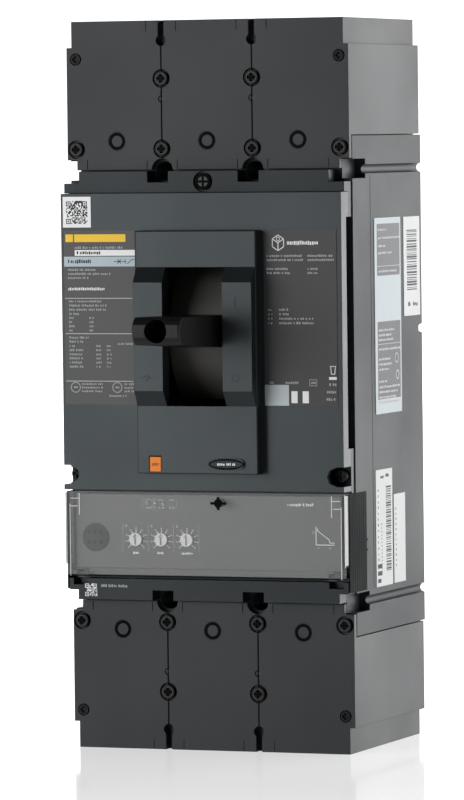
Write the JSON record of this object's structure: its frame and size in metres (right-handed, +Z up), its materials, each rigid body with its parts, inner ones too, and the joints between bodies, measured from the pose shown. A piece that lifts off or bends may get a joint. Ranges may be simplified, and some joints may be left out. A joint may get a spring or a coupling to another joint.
{
  "type": "molded case breaker",
  "caption": "Molded case circuit breaker with a swing handle, electronic trip unit under a clear flap and long terminal covers.",
  "frame": {"origin": "middle of the flat back mounting face", "axes": "+X to the right seen from the front, -Y out of the front, +Z up along the long side"},
  "size_m": [0.1402, 0.1673, 0.34],
  "materials": {
    "case_plastic": "satin moulded",
    "terminal_plastic": "satin moulded",
    "black_plastic": "satin",
    "handle_plastic": "satin",
    "clear_plastic": "clear",
    "panel_plastic": "satin",
    "orange_plastic": "satin",
    "printed_label": "printed",
    "pale_label": "printed",
    "steel": "plated",
    "dark_steel": "blackened",
    "copper": "plated",
    "aluminium": "machined",
    "cassette_plastic": "moulded thermoset",
    "board": "circuit board",
    "lamp": "translucent"
  },
  "bodies": {
    "case": {"base_case": "case_plastic", "main_cover": "case_plastic", "accessory_cover": "case_plastic", "upper_terminal_cover_left": "terminal_plastic", "upper_terminal_cover_centre": "terminal_plastic", "upper_terminal_cover_right": "terminal_plastic", "lower_terminal_cover_left": "terminal_plastic", "lower_terminal_cover_centre": "terminal_plastic", "lower_terminal_cover_right": "terminal_plastic", "terminal_plugs": "terminal_plastic", "terminal_cover_screws": "dark_steel", "terminal_corner_caps": "dark_steel", "main_cover_screw": "dark_steel", "accessory_cover_screws": "dark_steel", "seal_screw": "dark_steel", "test_port": "black_plastic", "rating_plug": "black_plastic", "trip_solenoid": "black_plastic", "mechanism_side_plates": "steel", "handle_pivot_pins": "steel", "cradle_pin": "steel", "arc_plates": "steel", "lug_screws": "steel", "terminal_screws": "steel", "flap_pins": "steel", "pole_cassette_centre": "cassette_plastic", "pole_cassettes_outer": "cassette_plastic", "line_terminals": "copper", "load_terminals": "copper", "lugs": "aluminium", "trip_unit_housing": "panel_plastic", "trip_unit_front": "panel_plastic", "flap_brackets": "panel_plastic", "trip_bar_bearings": "panel_plastic", "current_sensors": "panel_plastic", "indicator_lights": "lamp", "circuit_board": "board", "left_nameplate": "printed_label", "right_nameplate": "printed_label", "code_sticker": "pale_label", "side_labels": "pale_label"},
    "handle": {"swing_handle": "handle_plastic", "handle_shroud": "black_plastic", "handle_yoke": "steel", "main_springs": "steel"},
    "contact_rotors": {"rotor_centre": "black_plastic", "rotors_outer": "black_plastic", "contact_arms": "copper", "drive_shaft": "steel", "crank_pin": "steel"},
    "drive_link": {"drive_link": "steel", "knee_pin": "steel"},
    "cradle": {"cradle": "steel"},
    "trip_button": {"trip_button": "orange_plastic"},
    "trip_bar": {"trip_bar": "black_plastic"},
    "trip_plunger": {"trip_plunger": "steel"},
    "trip_unit_cover": {"trip_unit_cover": "clear_plastic"},
    "pickup_dial": {"pickup_dial": "panel_plastic"},
    "delay_dial": {"delay_dial": "panel_plastic"},
    "instant_dial": {"instant_dial": "panel_plastic"}
  },
  "joints": [
    {"name": "handle_swing", "type": "hinge", "parent": "case", "child": "handle", "pos_m": [0, -0.07, 0.0246], "axis": [-1, 0, 0], "range_deg": [-22, 22]},
    {"name": "rotor_turn", "type": "hinge", "parent": "case", "child": "contact_rotors", "pos_m": [0, -0.037, 0], "axis": [-1, 0, 0], "range_deg": [-22, 22]},
    {"name": "link_turn", "type": "hinge", "parent": "contact_rotors", "child": "drive_link", "pos_m": [0, -0.057, 0], "axis": [-1, 0, 0], "range_deg": [-22, 22]},
    {"name": "cradle_turn", "type": "hinge", "parent": "case", "child": "cradle", "pos_m": [0, -0.076, 0.044], "axis": [1, 0, 0], "range_deg": [0, 8]},
    {"name": "button_push", "type": "slide", "parent": "case", "child": "trip_button", "axis": [0, 1, 0], "range_m": [0, 0.003], "stiffness_N_per_m": 80},
    {"name": "trip_bar_turn", "type": "hinge", "parent": "case", "child": "trip_bar", "pos_m": [0, -0.086, -0.0445], "axis": [-1, 0, 0], "range_deg": [0, 25]},
    {"name": "plunger_slide", "type": "slide", "parent": "case", "child": "trip_plunger", "axis": [0, 0, 1], "range_m": [0, 0.002]},
    {"name": "cover_hinge", "type": "hinge", "parent": "case", "child": "trip_unit_cover", "pos_m": [0, -0.1064, -0.0872], "axis": [1, 0, 0], "range_deg": [0, 100]},
    {"name": "pickup_dial_turn", "type": "hinge", "parent": "case", "child": "pickup_dial", "pos_m": [-0.036, -0.104, -0.0715], "axis": [0, -1, 0], "range_deg": [-120, 120]},
    {"name": "delay_dial_turn", "type": "hinge", "parent": "case", "child": "delay_dial", "pos_m": [-0.02325, -0.104, -0.0715], "axis": [0, -1, 0], "range_deg": [-120, 120]},
    {"name": "instant_dial_turn", "type": "hinge", "parent": "case", "child": "instant_dial", "pos_m": [-0.0105, -0.104, -0.0715], "axis": [0, -1, 0], "range_deg": [-120, 120]}
  ],
  "couplings": [
    {"joint": "rotor_turn", "follows": "handle_swing", "ratio": 1},
    {"joint": "link_turn", "follows": "handle_swing", "ratio": -1},
    {"joint": "trip_bar_turn", "follows": "button_push", "rad_per_m": 139.63}
  ]
}
